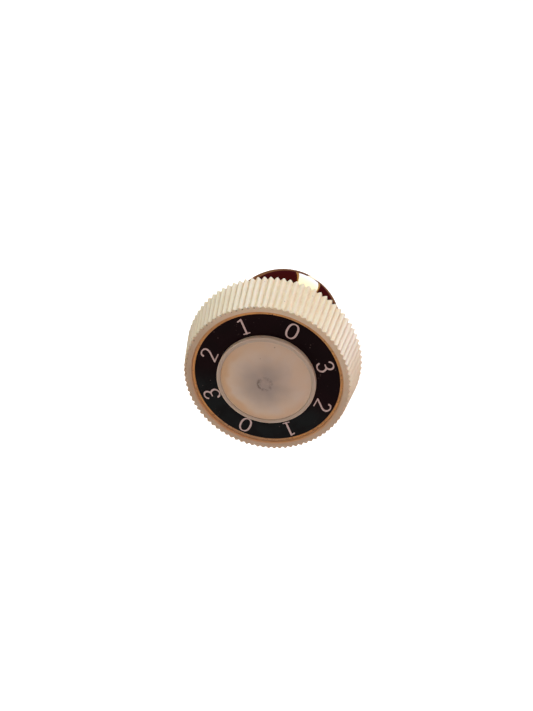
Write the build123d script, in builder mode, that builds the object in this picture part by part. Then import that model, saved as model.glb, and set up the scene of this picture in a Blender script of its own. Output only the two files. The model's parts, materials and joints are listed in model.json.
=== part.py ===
"""Rotary selector switch: a fluted knob with a numbered dial on a polished brass ball.

The switch mechanism sits inside the ball. The shaft's axis lies along Y and the knob faces -Y.
The origin is on the shaft's axis, at the flat foot of the ball. All sizes are in millimetres.
Distances along the axis are counted forward from the foot, so a point at forward distance s
lies at y = -s.
"""
import os
from math import cos, radians, sin, sqrt, tan

from build123d import *

# Ball housing
ball_radius = 14.82
ball_wall = 0.9
foot_radius = 7.5
front_flat_radius = 6.4
seam = 5.0
lip_root = 1.1
lip_thickness = 0.8
lip_gap = 0.3
seam_chamfer = 0.15

# Knob and its flutes
flute_count = 88
rear_ridge_radius = 21.37
rear_flute_depth = 0.77
front_ridge_radius = 19.45
front_flute_depth = 0.5
knob_lift = 1.36
knob_depth = 10.2
rim_wall_rear = 2.4
rim_wall_front = 2.2
lip_height = 0.75
lip_slope = 0.3
lip_width = 1.29
lip_land = 0.1
face_thickness = 1.9
rib_count = 4
rib_thickness = 1.1
rib_depth = 3.3
rib_root = 1.0
hub_radius = 6.0

# Dial, trim and cap
dial_width = 5.4
dial_thickness = 0.5
trim_width = 0.6
boss_wall = 0.95
boss_height = 1.3
boss_fillet = 0.25
cap_edge_height = 1.05
cap_dome = 1.15
cap_thickness = 1.0
cap_ledge = 0.7
cap_ledge_depth = 0.6
cap_skirt = 0.65
cap_rib = 0.8
cap_rib_start = 4.2
cap_rib_count = 4
pocket_depth = 1.27

# Shaft and its bearings
shaft_radius = 3.0
knob_flat = 2.3
key_width = 4.4
journal_radius = 2.0
collar_radius = 4.2
running_gap = 0.04
clip_width = 0.6
clip_radius = 4.6
clip_groove_depth = 0.5
clip_gap = 0.15
hub_gap = 0.45
shaft_chamfer = 0.3
insert_radius = 4.5
knob_screw_radius = 1.45
knob_screw_length = 8.0
knob_screw_end_gap = 0.5
knob_screw_head_radius = 2.7
knob_screw_head = 1.5
knob_screw_chamfer = 0.5
screw_slot = 0.7
washer_radius = 3.4
washer_thickness = 0.3
bush_thread_radius = 4.0
bush_flat = 3.5
bush_shoulder_radius = 6.0
bush_shoulder = 3.1
bush_front_length = 2.6
lock_washer_radius = 5.6
lock_washer_thickness = 0.5
lock_washer_teeth = 12
ring_nut_radius = 6.2
ring_nut_thickness = 1.5
ring_nut_slots = 4
ring_nut_slot = 1.4

# Switch body
body_gap = 0.28
body_wall = 1.2
plate_inset = 1.1
plate_thickness = 1.0
detent_chamber = 3.6
partition = 0.8
partition_hole_radius = 3.7
cover_thickness = 1.7
cover_space = 1.9
body_screw_radius = 0.85
body_screw_inset = 1.5
body_screw_head_radius = 1.5
body_screw_head = 1.2
body_screw_boss = 1.5
screw_hole_gap = 0.1

# Detent
notch_count = 8
star_radius = 6.0
star_thickness = 2.2
notch_radius = 1.5
notch_depth = 0.8
detent_leaf = 0.35
detent_leaf_width = 1.8
detent_leaf_rise = 1.3
detent_leaf_gap = 0.1
detent_bend = 0.6
detent_flank = 50

# Cams and contacts
contact_count = 3
cam_low_radius = 3.7
cam_high_radius = 4.6
cam_spacer = 0.8
cam_spacer_radius = 3.6
chamber_gap = 0.4
blade_thickness = 0.3
blade_margin = 0.2
blade_rise = 1.3
blade_root_end = 0.8
blade_tip_end = 0.9
blade_bend = 0.5
blade_flank = 50
follower_gap = 0.06
terminal_width = 1.6
terminal_thickness = 0.35
blade_terminal_inset = 1.1
fixed_contact_inset = 0.28
contact_gap = 0.55
tab_length = 2.9
slot_gap = 0.05
rivet_radius = 0.75
rivet_height = 0.3
common_ring_width = 2.5
common_ring_inset = 0.28
common_ring_thickness = 0.5
common_ring_relief = 0.4

# Mounting bush at the foot
mount_bore_radius = 4.5
mount_tube_radius = 6.0
mount_flange_radius = 6.9
mount_flange = 1.4
mount_length = 5.0

# Clearance of pieces that are fitted and don't turn against each other
fit_gap = 0.03


def chord(radius, height):
    """Half the width of a circle at a height above its centre."""
    return sqrt(radius**2 - height**2)


# Places along the axis
ball_centre = chord(ball_radius, foot_radius)
front_flat = ball_centre + chord(ball_radius, front_flat_radius)
knob_rear = front_flat + knob_lift
dial_plane = knob_rear + knob_depth
dial_floor = dial_plane - dial_thickness
face_rear = dial_floor - face_thickness
lip_plane = dial_plane + lip_height
plate_front = front_flat - ball_wall - bush_shoulder
body_front = plate_front - plate_thickness
partition_front = body_front - detent_chamber
partition_rear = partition_front - partition
cover_rear = mount_length + cover_space
body_rear = cover_rear + cover_thickness
cam_room = partition_rear - body_rear - 2 * chamber_gap
cam_thickness = (cam_room - (contact_count - 1) * cam_spacer) / contact_count
cam_pitch = cam_thickness + cam_spacer
bush_front = front_flat + bush_front_length
clip_rear = bush_front + clip_gap
hub_rear = clip_rear + clip_width + hub_gap
pocket_floor = dial_plane - pocket_depth
star_front = body_front - (detent_chamber - star_thickness) / 2
star_rear = star_front - star_thickness
tab_end = cover_rear - tab_length
nut_rear = front_flat + lock_washer_thickness

# Sizes across the axis: the knob's face from its rim inwards, then the switch from the ball inwards
dial_radius = front_ridge_radius - front_flute_depth - lip_width - trim_width - 2 * fit_gap
boss_radius = dial_radius - dial_width
inner_seam_radius = chord(ball_radius - ball_wall, ball_centre - seam)
body_radius = chord(ball_radius - ball_wall, body_front - ball_centre) - body_gap
body_inner_radius = body_radius - body_wall
plate_radius = body_radius - plate_inset
body_screw_circle = body_inner_radius - body_screw_inset
body_screw_turn = 180 / contact_count
detent_leaf_height = star_radius + detent_leaf_rise
detent_half_span = chord(
    body_inner_radius - detent_leaf_gap, detent_leaf_height + detent_leaf / 2
)
blade_width = cam_thickness - 2 * blade_margin
blade_height = cam_high_radius + blade_rise
blade_outer = blade_height + blade_thickness / 2
blade_terminal_place = (
    chord(body_inner_radius - blade_terminal_inset, blade_outer + terminal_thickness)
    - terminal_width / 2
)
blade_root = blade_terminal_place + blade_root_end
fixed_contact_height = blade_outer + 2 * rivet_height + contact_gap
fixed_contact_place = (
    chord(body_inner_radius - fixed_contact_inset, fixed_contact_height + terminal_thickness)
    - terminal_width / 2
)
blade_tip = fixed_contact_place + blade_tip_end
common_ring_outer = (
    sqrt(blade_terminal_place**2 + (blade_outer + terminal_thickness / 2) ** 2) - common_ring_inset
)
common_ring_inner = common_ring_outer - common_ring_width


def across(forward, turn=0.0):
    """Plane across the axis, seen from the front, with its up side turned clockwise."""
    x_dir = (cos(radians(turn)), 0, -sin(radians(turn)))
    return Plane(origin=(0, -forward, 0), x_dir=x_dir, z_dir=(0, -1, 0))


def turned_profile(*points):
    """Section for a revolve, from points given as radius and forward distance."""
    with BuildSketch(Plane.XY) as section:
        with BuildLine():
            Polyline(*[(radius, -forward) for radius, forward in points], close=True)
        make_face()
    return section.sketch


def ball_slice(radius, rear, front):
    """Half section of the ball between two flats, ready to revolve."""
    with BuildSketch(Plane.XY) as section:
        with Locations((0, -ball_centre)):
            Circle(radius)
        with Locations((0, -front)):
            Rectangle(
                radius, front - rear, align=(Align.MIN, Align.MIN), mode=Mode.INTERSECT
            )
    return section.sketch


def flatted_circle(radius, top, bottom):
    """Circle cut off flat at the given heights above and below its centre."""
    Circle(radius)
    with Locations((0, -bottom)):
        Rectangle(
            2 * radius, top + bottom, align=(Align.CENTER, Align.MIN), mode=Mode.INTERSECT
        )


def fluted_outline(ridge_radius, flute_depth):
    """Outline of straight V flutes, with one ridge at the top."""
    step = 360 / flute_count
    points = []
    for number in range(flute_count):
        for radius, angle in (
            (ridge_radius, number * step),
            (ridge_radius - flute_depth, (number + 0.5) * step),
        ):
            points.append((radius * sin(radians(angle)), radius * cos(radians(angle))))
    with BuildSketch() as outline:
        with BuildLine():
            Polyline(*points, close=True)
        make_face()
    return outline.sketch


def nosed_leaf(left, right, height, tip, flank, bend, thickness):
    """Strip of sheet seen edge on, straight but for a V nose that points at the axis."""
    apex = tip + thickness / 2 - bend * (1 / cos(radians(flank)) - 1)
    run = (height - apex) / tan(radians(flank))
    with BuildSketch() as strip:
        with BuildLine():
            FilletPolyline(
                (-left, height),
                (-run, height),
                (0, apex),
                (run, height),
                (right, height),
                radius=bend,
            )
        trace(line_width=thickness)
    return strip.sketch


def set_turn(number):
    """Clockwise direction of one contact set, seen from the front."""
    return number * 360 / contact_count


def cam_rear(number):
    """Forward distance of one cam's rear face."""
    return body_rear + chamber_gap + number * cam_pitch


def export(piece, name):
    """Label a finished piece and write it as a STEP file."""
    piece.part.label = name
    export_step(piece.part, f"parts/{name}.step")


os.makedirs("parts", exist_ok=True)

# Ball housing: a deep front shell of brass, and a shallow rear cap whose lip fits inside it.
# The switch goes in through the rear.
with BuildPart() as ball_front_shell:
    revolve(ball_slice(ball_radius, seam, front_flat), axis=Axis.Y)
    revolve(
        ball_slice(ball_radius - ball_wall, seam, front_flat - ball_wall),
        axis=Axis.Y,
        mode=Mode.SUBTRACT,
    )
    with BuildSketch(across(front_flat - 2 * ball_wall)):
        flatted_circle(bush_thread_radius + fit_gap, bush_flat + fit_gap, bush_thread_radius)
    extrude(amount=3 * ball_wall, mode=Mode.SUBTRACT)
    outer_seam = ball_front_shell.edges().filter_by(GeomType.CIRCLE).group_by(Axis.Y)[-1]
    chamfer(outer_seam.sort_by(SortBy.RADIUS)[-1], seam_chamfer)
export(ball_front_shell, "ball_front_shell")

with BuildPart() as ball_rear_shell:
    revolve(ball_slice(ball_radius, 0, seam), axis=Axis.Y)
    revolve(ball_slice(ball_radius - ball_wall, ball_wall, seam), axis=Axis.Y, mode=Mode.SUBTRACT)
    outer_seam = ball_rear_shell.edges().filter_by(GeomType.CIRCLE).group_by(Axis.Y)[0]
    chamfer(outer_seam.sort_by(SortBy.RADIUS)[-1], seam_chamfer)
    lip_radius = inner_seam_radius - fit_gap
    revolve(
        turned_profile(
            (lip_radius - lip_thickness, seam - lip_root),
            (lip_radius, seam - lip_root),
            (lip_radius, cover_rear - lip_gap),
            (lip_radius - lip_thickness, cover_rear - lip_gap),
        ),
        axis=Axis.Y,
    )
    with BuildSketch(across(0)):
        Circle(mount_tube_radius + fit_gap)
    extrude(amount=ball_wall, mode=Mode.SUBTRACT)
export(ball_rear_shell, "ball_rear_shell")

# Mounting bush, riveted into the foot, with the hole for the fitting's threaded tube
with BuildPart() as mounting_bush:
    revolve(
        turned_profile(
            (mount_bore_radius, 0),
            (mount_tube_radius, 0),
            (mount_tube_radius, ball_wall),
            (mount_flange_radius, ball_wall),
            (mount_flange_radius, ball_wall + mount_flange),
            (mount_tube_radius, ball_wall + mount_flange),
            (mount_tube_radius, mount_length),
            (mount_bore_radius, mount_length),
        ),
        axis=Axis.Y,
    )
export(mounting_bush, "mounting_bush")

# Bushing: bearing for the shaft, clamps the front shell against the switch
with BuildPart() as bushing:
    with BuildSketch(across(body_front)):
        Circle(bush_thread_radius)
    extrude(amount=plate_thickness)
    with BuildSketch(across(plate_front)):
        Circle(bush_shoulder_radius)
    extrude(amount=bush_shoulder)
    with BuildSketch(across(plate_front + bush_shoulder)):
        flatted_circle(bush_thread_radius, bush_flat, bush_thread_radius)
    extrude(amount=bush_front - plate_front - bush_shoulder)
    with BuildSketch(across(body_front)):
        Circle(shaft_radius + running_gap)
    extrude(amount=bush_front - body_front, mode=Mode.SUBTRACT)
export(bushing, "bushing")

with BuildPart() as lock_washer:
    with BuildSketch(across(front_flat)):
        Circle(lock_washer_radius)
        with PolarLocations(lock_washer_radius, lock_washer_teeth):
            RegularPolygon(lock_washer_thickness, 3, mode=Mode.SUBTRACT)
        Circle(bush_thread_radius + fit_gap, mode=Mode.SUBTRACT)
    extrude(amount=lock_washer_thickness)
export(lock_washer, "lock_washer")

with BuildPart() as ring_nut:
    with BuildSketch(across(nut_rear)):
        Circle(ring_nut_radius)
        Circle(bush_thread_radius + fit_gap, mode=Mode.SUBTRACT)
        with PolarLocations(ring_nut_radius, ring_nut_slots, start_angle=180 / ring_nut_slots):
            Rectangle(ring_nut_radius - bush_thread_radius, ring_nut_slot, mode=Mode.SUBTRACT)
    extrude(amount=ring_nut_thickness)
export(ring_nut, "ring_nut")

# Front plate of steel, which closes the detent chamber
with BuildPart() as front_plate:
    with BuildSketch(across(body_front)):
        Circle(plate_radius)
        Circle(bush_thread_radius + fit_gap, mode=Mode.SUBTRACT)
    extrude(amount=plate_thickness)
    for number in range(contact_count):
        with BuildSketch(across(body_front, body_screw_turn + set_turn(number))):
            with Locations((0, body_screw_circle)):
                Circle(body_screw_radius + fit_gap)
        extrude(amount=plate_thickness, mode=Mode.SUBTRACT)
export(front_plate, "front_plate")

# Switch body: a phenolic moulding with a chamber on each side of its partition
with BuildPart() as switch_body:
    with BuildSketch(across(body_rear)):
        Circle(body_radius)
        Circle(body_inner_radius, mode=Mode.SUBTRACT)
    extrude(amount=body_front - body_rear)
    with BuildSketch(across(partition_rear)):
        Circle(body_radius)
        Circle(partition_hole_radius, mode=Mode.SUBTRACT)
    extrude(amount=partition)
    for number in range(contact_count):
        with BuildSketch(across(body_rear, body_screw_turn + set_turn(number))):
            with Locations((0, body_screw_circle)):
                Circle(body_screw_boss)
            with Locations((0, body_screw_circle + body_screw_boss / 2)):
                Rectangle(2 * body_screw_boss, body_screw_boss)
            Circle(body_radius, mode=Mode.INTERSECT)
        extrude(amount=body_front - body_rear)
        with BuildSketch(across(body_rear, body_screw_turn + set_turn(number))):
            with Locations((0, body_screw_circle)):
                Circle(body_screw_radius + screw_hole_gap)
        extrude(amount=body_front - body_rear, mode=Mode.SUBTRACT)
        with BuildSketch(across(body_rear, set_turn(number))):
            for place, seat in (
                (-blade_terminal_place, blade_outer + terminal_thickness),
                (fixed_contact_place, fixed_contact_height + terminal_thickness),
            ):
                with Locations((place, seat + slot_gap)):
                    Rectangle(
                        terminal_width, body_radius, align=(Align.CENTER, Align.MIN)
                    )
            Circle(body_radius - body_wall / 2, mode=Mode.INTERSECT)
        extrude(amount=partition_rear - body_rear)
export(switch_body, "switch_body")

with BuildPart() as rear_cover:
    with BuildSketch(across(cover_rear)):
        Circle(body_radius)
        Circle(journal_radius + running_gap, mode=Mode.SUBTRACT)
    extrude(amount=cover_thickness)
    for number in range(contact_count):
        with BuildSketch(across(cover_rear, body_screw_turn + set_turn(number))):
            with Locations((0, body_screw_circle)):
                Circle(body_screw_radius + screw_hole_gap)
        extrude(amount=cover_thickness, mode=Mode.SUBTRACT)
        with BuildSketch(across(cover_rear, set_turn(number))):
            for place, height in (
                (-blade_terminal_place, blade_outer),
                (fixed_contact_place, fixed_contact_height),
            ):
                with Locations((place, height + terminal_thickness / 2)):
                    Rectangle(
                        terminal_width + 2 * slot_gap, terminal_thickness + 2 * slot_gap
                    )
        extrude(amount=cover_thickness, mode=Mode.SUBTRACT)
export(rear_cover, "rear_cover")

with BuildPart() as body_screws:
    for number in range(contact_count):
        turn = body_screw_turn + set_turn(number)
        with BuildSketch(across(cover_rear - body_screw_head, turn)):
            with Locations((0, body_screw_circle)):
                Circle(body_screw_head_radius)
        extrude(amount=body_screw_head)
        with BuildSketch(across(cover_rear, turn)):
            with Locations((0, body_screw_circle)):
                Circle(body_screw_radius)
        extrude(amount=plate_front - cover_rear)
        with BuildSketch(across(cover_rear - body_screw_head, turn)):
            with Locations((0, body_screw_circle)):
                Rectangle(2 * body_screw_head_radius, body_screw_head / 3)
        extrude(amount=body_screw_head / 2, mode=Mode.SUBTRACT)
export(body_screws, "body_screws")

# Detent: a star wheel with one notch for each figure, and a leaf spring in its top notch
with BuildPart() as star_wheel:
    with BuildSketch(across(star_rear)):
        Circle(star_radius)
        with PolarLocations(star_radius - notch_depth + notch_radius, notch_count):
            Circle(notch_radius, mode=Mode.SUBTRACT)
    extrude(amount=star_thickness)
    with BuildSketch(across(star_rear)):
        flatted_circle(shaft_radius + fit_gap, key_width / 2 + fit_gap, key_width / 2 + fit_gap)
    extrude(amount=star_thickness, mode=Mode.SUBTRACT)
export(star_wheel, "star_wheel")

with BuildPart() as detent_spring:
    with BuildSketch(across(star_rear + (star_thickness - detent_leaf_width) / 2)):
        add(
            nosed_leaf(
                detent_half_span,
                detent_half_span,
                detent_leaf_height,
                star_radius - notch_depth + follower_gap,
                detent_flank,
                detent_bend,
                detent_leaf,
            )
        )
    extrude(amount=detent_leaf_width)
export(detent_spring, "detent_spring")

# Cams: two lobes each, half a turn apart, because the figures repeat after half a turn.
# A cam is low where its blade rests at figure 0. It lifts the blade at the figures that the
# circuit is on for: the first cam at 1, 2 and 3, the second at 2 and 3, the third at 3.
figure_step = 360 / notch_count
lobe_margin = 8.0
last_lobe_end = 3 * figure_step + lobe_margin
for number in range(contact_count):
    first_lobe_end = (number + 1) * figure_step - lobe_margin
    with BuildPart() as cam:
        with BuildSketch(across(cam_rear(number), set_turn(number))):
            for lobe_turn in (0, 180):
                with BuildSketch(mode=Mode.PRIVATE) as lobe:
                    with BuildLine():
                        CenterArc(
                            (0, 0),
                            cam_high_radius,
                            90 + lobe_turn + first_lobe_end,
                            last_lobe_end - first_lobe_end,
                        )
                        CenterArc((0, 0), cam_low_radius, 0, 360)
                    make_hull()
                add(lobe)
        extrude(amount=cam_thickness)
        with BuildSketch(across(cam_rear(number))):
            flatted_circle(
                shaft_radius + fit_gap, key_width / 2 + fit_gap, key_width / 2 + fit_gap
            )
        extrude(amount=cam_thickness, mode=Mode.SUBTRACT)
    export(cam, f"cam_{number + 1}")

for number in range(contact_count - 1):
    with BuildPart() as spacer:
        with BuildSketch(across(cam_rear(number) + cam_thickness)):
            Circle(cam_spacer_radius)
            Circle(shaft_radius + fit_gap, mode=Mode.SUBTRACT)
        extrude(amount=cam_spacer)
    export(spacer, f"cam_spacer_{number + 1}")

# Contact sets, one at each third of a turn
for number in range(contact_count):
    turn = set_turn(number)
    blade_rear = cam_rear(number) + (cam_thickness - blade_width) / 2
    with BuildPart() as blade:
        with BuildSketch(across(blade_rear, turn)):
            add(
                nosed_leaf(
                    blade_root,
                    blade_tip,
                    blade_height,
                    cam_low_radius + follower_gap,
                    blade_flank,
                    blade_bend,
                    blade_thickness,
                )
            )
        extrude(amount=blade_width)
    export(blade, f"contact_blade_{number + 1}")
    for kind, place, height in (
        ("blade_terminal", -blade_terminal_place, blade_outer),
        ("fixed_contact", fixed_contact_place, fixed_contact_height),
    ):
        with BuildPart() as bar:
            with BuildSketch(across(tab_end, turn)):
                with Locations((place, height)):
                    Rectangle(
                        terminal_width, terminal_thickness, align=(Align.CENTER, Align.MIN)
                    )
            extrude(amount=blade_rear + blade_width - tab_end)
        export(bar, f"{kind}_{number + 1}")

for name, foot, rise in (
    ("blade_rivets", blade_outer, 1),
    ("fixed_rivets", fixed_contact_height, -1),
):
    with BuildPart() as rivets:
        for number in range(contact_count):
            middle = cam_rear(number) + cam_thickness / 2
            across_set = across(middle, set_turn(number))
            face = Plane(
                origin=across_set.from_local_coords((fixed_contact_place, foot, 0)),
                x_dir=across_set.x_dir,
                z_dir=across_set.y_dir * rise,
            )
            with BuildSketch(face):
                Circle(rivet_radius)
            extrude(amount=rivet_height)
    export(rivets, name)

with BuildPart() as common_ring:
    with BuildSketch(across(cover_rear - common_ring_thickness)):
        Circle(common_ring_outer)
        Circle(common_ring_inner, mode=Mode.SUBTRACT)
    extrude(amount=common_ring_thickness)
    for number in range(contact_count):
        with BuildSketch(
            across(cover_rear - common_ring_thickness, body_screw_turn + set_turn(number))
        ):
            with Locations((0, body_screw_circle)):
                Circle(body_screw_head_radius + common_ring_relief)
        extrude(amount=common_ring_thickness, mode=Mode.SUBTRACT)
        with BuildSketch(across(cover_rear - common_ring_thickness, set_turn(number))):
            with Locations((-blade_terminal_place, blade_outer + terminal_thickness / 2)):
                Rectangle(terminal_width + 2 * slot_gap, terminal_thickness + 2 * slot_gap)
        extrude(amount=common_ring_thickness, mode=Mode.SUBTRACT)
export(common_ring, "common_ring")

# Shaft: rear journal, double-D for cams and star wheel, collar, bearing length, flat for the knob
insert_front = pocket_floor
shaft_front = insert_front - washer_thickness
with BuildPart() as shaft:
    with BuildSketch(across(cover_rear)):
        Circle(journal_radius)
    extrude(amount=cover_thickness)
    with BuildSketch(across(body_rear)):
        flatted_circle(shaft_radius, key_width / 2, key_width / 2)
    extrude(amount=star_front - body_rear)
    with BuildSketch(across(star_front)):
        Circle(collar_radius)
    extrude(amount=body_front - 2 * running_gap - star_front)
    with BuildSketch(across(body_front - 2 * running_gap)):
        Circle(shaft_radius)
    extrude(amount=hub_rear - body_front + 2 * running_gap)
    with BuildSketch(across(hub_rear)):
        flatted_circle(shaft_radius, knob_flat, shaft_radius)
    extrude(amount=shaft_front - hub_rear)
    revolve(
        turned_profile(
            (shaft_radius - clip_groove_depth, clip_rear),
            (shaft_radius + clip_groove_depth, clip_rear),
            (shaft_radius + clip_groove_depth, clip_rear + clip_width),
            (shaft_radius - clip_groove_depth, clip_rear + clip_width),
        ),
        axis=Axis.Y,
        mode=Mode.SUBTRACT,
    )
    with BuildSketch(across(shaft_front)):
        Circle(knob_screw_radius + fit_gap)
    extrude(amount=-knob_screw_length, mode=Mode.SUBTRACT)
    chamfer(shaft.faces().sort_by(Axis.Y)[-1].edges(), shaft_chamfer)
export(shaft, "shaft")

with BuildPart() as shaft_clip:
    with BuildSketch(across(clip_rear)):
        Circle(clip_radius)
        Circle(shaft_radius - clip_groove_depth + fit_gap, mode=Mode.SUBTRACT)
        with Locations((0, -clip_radius)):
            Rectangle(shaft_radius * 1.5, clip_radius * 2 - shaft_radius, mode=Mode.SUBTRACT)
    extrude(amount=clip_width - fit_gap)
export(shaft_clip, "shaft_clip")

# Knob insert of brass, with a D-bore on the shaft
with BuildPart() as hub_insert:
    with BuildSketch(across(hub_rear)):
        Circle(insert_radius)
        with BuildSketch(mode=Mode.PRIVATE) as d_bore:
            flatted_circle(shaft_radius + fit_gap, knob_flat + fit_gap, shaft_radius + fit_gap)
        add(d_bore, mode=Mode.SUBTRACT)
    extrude(amount=insert_front - hub_rear)
export(hub_insert, "hub_insert")

with BuildPart() as screw_washer:
    with BuildSketch(across(insert_front)):
        Circle(washer_radius)
        Circle(knob_screw_radius + screw_hole_gap, mode=Mode.SUBTRACT)
    extrude(amount=washer_thickness)
export(screw_washer, "screw_washer")

with BuildPart() as knob_screw:
    head_rear = insert_front + washer_thickness
    with BuildSketch(across(head_rear)):
        Circle(knob_screw_head_radius)
    extrude(amount=knob_screw_head)
    chamfer(knob_screw.edges().group_by(Axis.Y)[0], knob_screw_chamfer)
    with BuildSketch(across(head_rear)):
        Circle(knob_screw_radius)
    extrude(amount=-(head_rear - shaft_front + knob_screw_length - knob_screw_end_gap))
    with BuildSketch(across(head_rear + knob_screw_head)):
        Rectangle(screw_slot, 2 * knob_screw_head_radius)
    extrude(amount=-knob_screw_head / 2, mode=Mode.SUBTRACT)
export(knob_screw, "knob_screw")

# Knob: fluted rim, face with the dial's recess and the boss ring, hub and four ribs
inner_front_radius = front_ridge_radius - front_flute_depth - rim_wall_front
inner_rear_radius = rear_ridge_radius - rear_flute_depth - rim_wall_rear
recess_radius = dial_radius + trim_width + 2 * fit_gap
with BuildPart() as knob_rim:
    with BuildSketch(across(knob_rear)):
        add(fluted_outline(rear_ridge_radius, rear_flute_depth))
    with BuildSketch(across(lip_plane)):
        add(fluted_outline(front_ridge_radius, front_flute_depth))
    loft(ruled=True)
    revolve(
        turned_profile(
            (0, knob_rear),
            (inner_rear_radius, knob_rear),
            (inner_front_radius, face_rear),
            (0, face_rear),
        ),
        axis=Axis.Y,
        mode=Mode.SUBTRACT,
    )
    revolve(
        turned_profile(
            (boss_radius, dial_floor),
            (recess_radius, dial_floor),
            (recess_radius, lip_plane - lip_slope),
            (front_ridge_radius - front_flute_depth - lip_land, lip_plane),
            (0, lip_plane),
            (0, dial_plane),
            (boss_radius, dial_plane),
        ),
        axis=Axis.Y,
        mode=Mode.SUBTRACT,
    )
    with BuildSketch(across(face_rear)):
        Circle(boss_radius)
    extrude(amount=dial_plane + boss_height - face_rear)
    fillet(knob_rim.faces().sort_by(Axis.Y)[0].edges(), boss_fillet)
    with BuildSketch(across(hub_rear)):
        Circle(hub_radius)
    extrude(amount=face_rear - hub_rear)
    with BuildSketch(across(face_rear - rib_depth)):
        for number in range(rib_count):
            with BuildSketch(mode=Mode.PRIVATE) as rib:
                with Locations((hub_radius - rib_root, 0)):
                    Rectangle(
                        inner_front_radius - hub_radius + 2 * rib_root,
                        rib_thickness,
                        align=(Align.MIN, Align.CENTER),
                    )
            add(rib, rotation=(number + 0.5) * 360 / rib_count)
    extrude(amount=rib_depth)
    cap_radius = boss_radius - boss_wall
    ledge = dial_plane - cap_ledge_depth
    with BuildSketch(across(pocket_floor)):
        Circle(cap_radius - cap_ledge)
    extrude(amount=boss_height + pocket_depth, mode=Mode.SUBTRACT)
    with BuildSketch(across(ledge)):
        Circle(cap_radius)
    extrude(amount=boss_height + cap_ledge_depth, mode=Mode.SUBTRACT)
    with BuildSketch(across(hub_rear)):
        Circle(insert_radius + fit_gap)
    extrude(amount=pocket_floor - hub_rear, mode=Mode.SUBTRACT)
export(knob_rim, "knob_rim")

with BuildPart() as dial_ring:
    with BuildSketch(across(dial_floor)):
        Circle(dial_radius)
        Circle(boss_radius + fit_gap, mode=Mode.SUBTRACT)
    extrude(amount=dial_thickness)
export(dial_ring, "dial_ring")

with BuildPart() as trim_ring:
    with BuildSketch(across(dial_floor)):
        Circle(dial_radius + fit_gap + trim_width)
        Circle(dial_radius + fit_gap, mode=Mode.SUBTRACT)
    extrude(amount=dial_thickness)
export(trim_ring, "trim_ring")

# Centre cap: shallow dome on a ledge of the boss, with a snap skirt and crossed ribs behind
cap_outer = cap_radius - fit_gap
cap_edge = dial_plane + cap_edge_height
cap_top = cap_edge + cap_dome
dome_radius = (cap_outer**2 + cap_dome**2) / (2 * cap_dome)
skirt_outer = cap_radius - cap_ledge - fit_gap
skirt_inner = skirt_outer - cap_skirt
under_radius = dome_radius - cap_thickness


def under_cap(radius):
    """Forward distance of the cap's hollow side at a radius."""
    return cap_top - dome_radius + sqrt(under_radius**2 - radius**2)


with BuildPart() as centre_cap:
    with BuildSketch(Plane.XY):
        with BuildLine():
            RadiusArc((0, -cap_top), (cap_outer, -cap_edge), -dome_radius)
            Polyline(
                (cap_outer, -cap_edge),
                (cap_outer, -ledge),
                (skirt_outer, -ledge),
                (skirt_outer, -pocket_floor - fit_gap),
                (skirt_inner, -pocket_floor - fit_gap),
                (skirt_inner, -under_cap(skirt_inner)),
            )
            RadiusArc(
                (skirt_inner, -under_cap(skirt_inner)), (0, -under_cap(0)), under_radius
            )
            Line((0, -under_cap(0)), (0, -cap_top))
        make_face()
    revolve(axis=Axis.Y)
    for number in range(cap_rib_count):
        with BuildSketch(across(ledge, number * 360 / cap_rib_count)):
            with Locations((0, cap_rib_start)):
                Rectangle(
                    cap_rib,
                    skirt_inner + cap_skirt / 2 - cap_rib_start,
                    align=(Align.CENTER, Align.MIN),
                )
        extrude(until=Until.NEXT, target=centre_cap.part)
export(centre_cap, "centre_cap")
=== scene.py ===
"""Rotary selector switch, dressed for its portrait.

The shaft's axis is Y and the knob faces -Y, as in the frame. Lengths here are in millimetres until
piece() turns them to metres. A turned piece is drawn as its turner would draw it: each corner of
its profile has a radius and a forward distance, which is -y. Clock angles run clockwise from the
top, seen from the front.
"""
import json
import math

import bpy
import numpy as np
from mathutils import Matrix, Vector


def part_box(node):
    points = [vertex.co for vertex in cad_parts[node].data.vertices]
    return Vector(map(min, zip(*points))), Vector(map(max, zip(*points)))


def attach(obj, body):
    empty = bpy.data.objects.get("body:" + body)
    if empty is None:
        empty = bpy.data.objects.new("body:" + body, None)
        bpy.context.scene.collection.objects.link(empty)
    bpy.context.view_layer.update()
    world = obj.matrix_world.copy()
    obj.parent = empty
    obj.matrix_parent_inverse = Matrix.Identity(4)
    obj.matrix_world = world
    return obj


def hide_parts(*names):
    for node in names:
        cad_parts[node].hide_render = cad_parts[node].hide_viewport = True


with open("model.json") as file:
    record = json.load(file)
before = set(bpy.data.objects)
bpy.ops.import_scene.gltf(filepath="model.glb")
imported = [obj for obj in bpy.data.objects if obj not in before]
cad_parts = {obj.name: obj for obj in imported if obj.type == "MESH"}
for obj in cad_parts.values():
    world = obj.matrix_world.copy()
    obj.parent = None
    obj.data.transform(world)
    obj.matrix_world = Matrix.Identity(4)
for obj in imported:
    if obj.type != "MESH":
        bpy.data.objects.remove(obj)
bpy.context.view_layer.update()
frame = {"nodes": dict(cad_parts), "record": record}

MM = 0.001

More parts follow.
